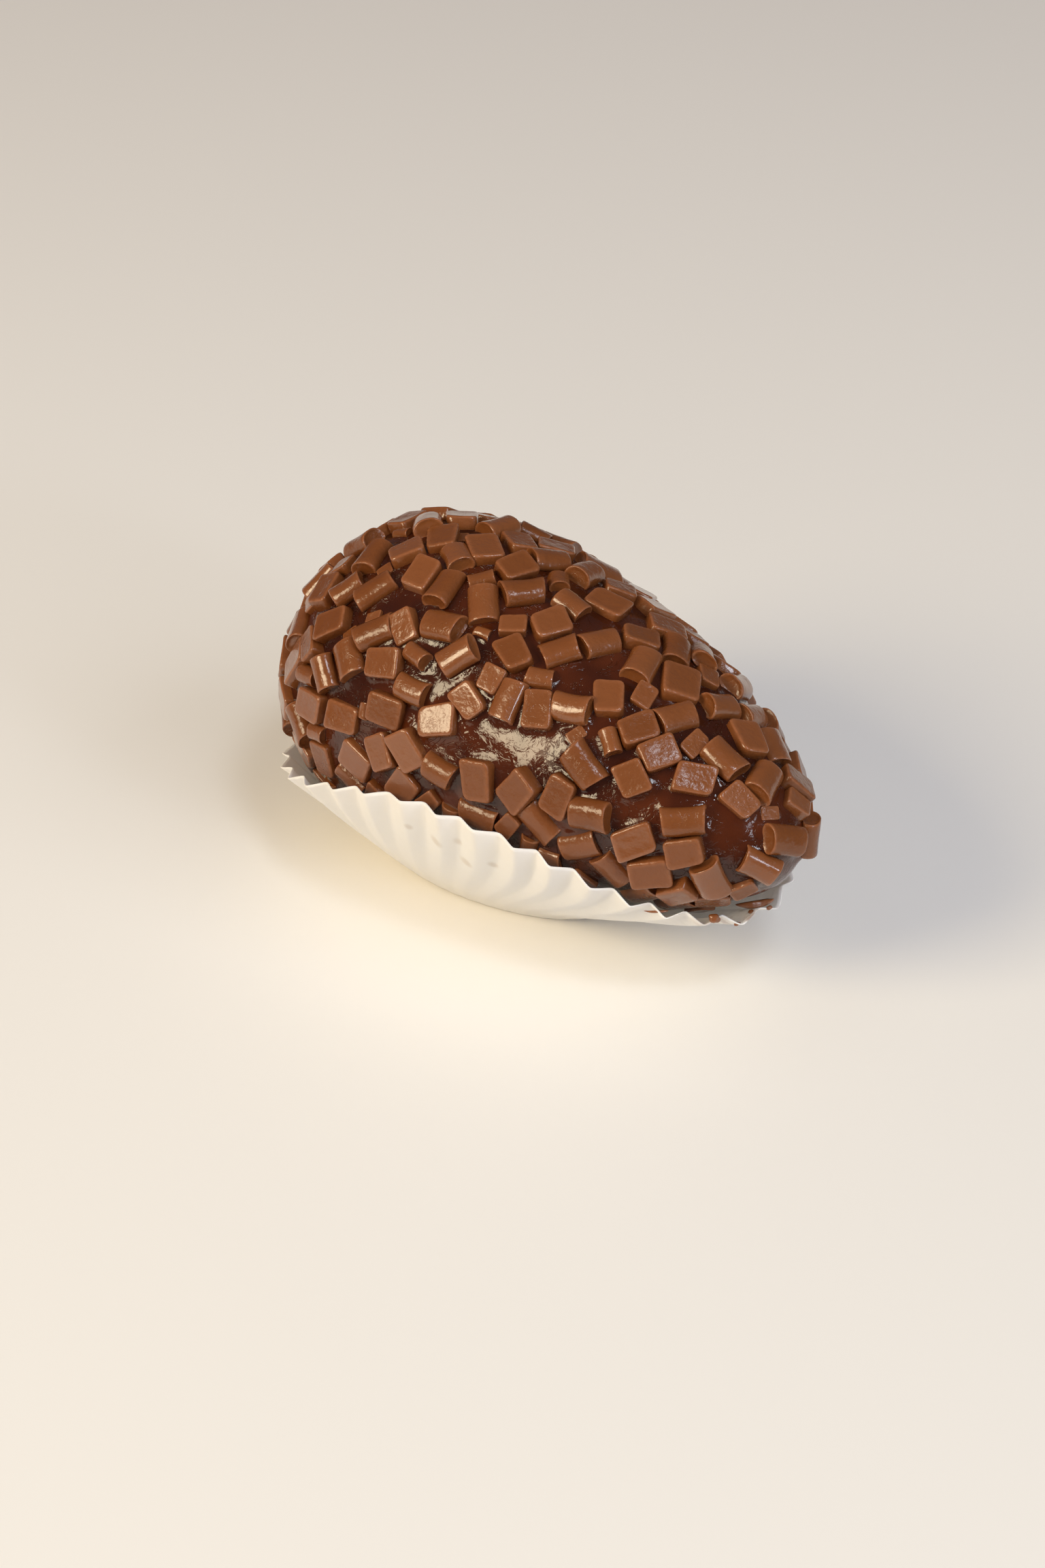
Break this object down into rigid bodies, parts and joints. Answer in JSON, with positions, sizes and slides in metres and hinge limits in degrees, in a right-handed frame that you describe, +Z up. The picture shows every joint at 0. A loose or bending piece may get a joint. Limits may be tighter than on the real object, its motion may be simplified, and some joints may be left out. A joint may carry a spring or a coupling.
{
  "type": "brigadeiro",
  "caption": "Egg-shaped glossy chocolate sweet covered in chopped milk chocolate sprinkles, lying on its side in a fluted white paper case.",
  "frame": {"origin": "on the underside of the paper case's flat base, straight below the middle of the egg's length", "axes": "+X along the egg towards its narrow end, +Z up, +Y completes the right-handed frame"},
  "size_m": [0.0737, 0.0454, 0.0416],
  "materials": {
    "dark_chocolate": "glossy",
    "milk_chocolate": "satin",
    "paper": "matte"
  },
  "bodies": {
    "root": {"brigadeiro": "dark_chocolate", "paper_case": "paper"}
  },
  "joints": []
}
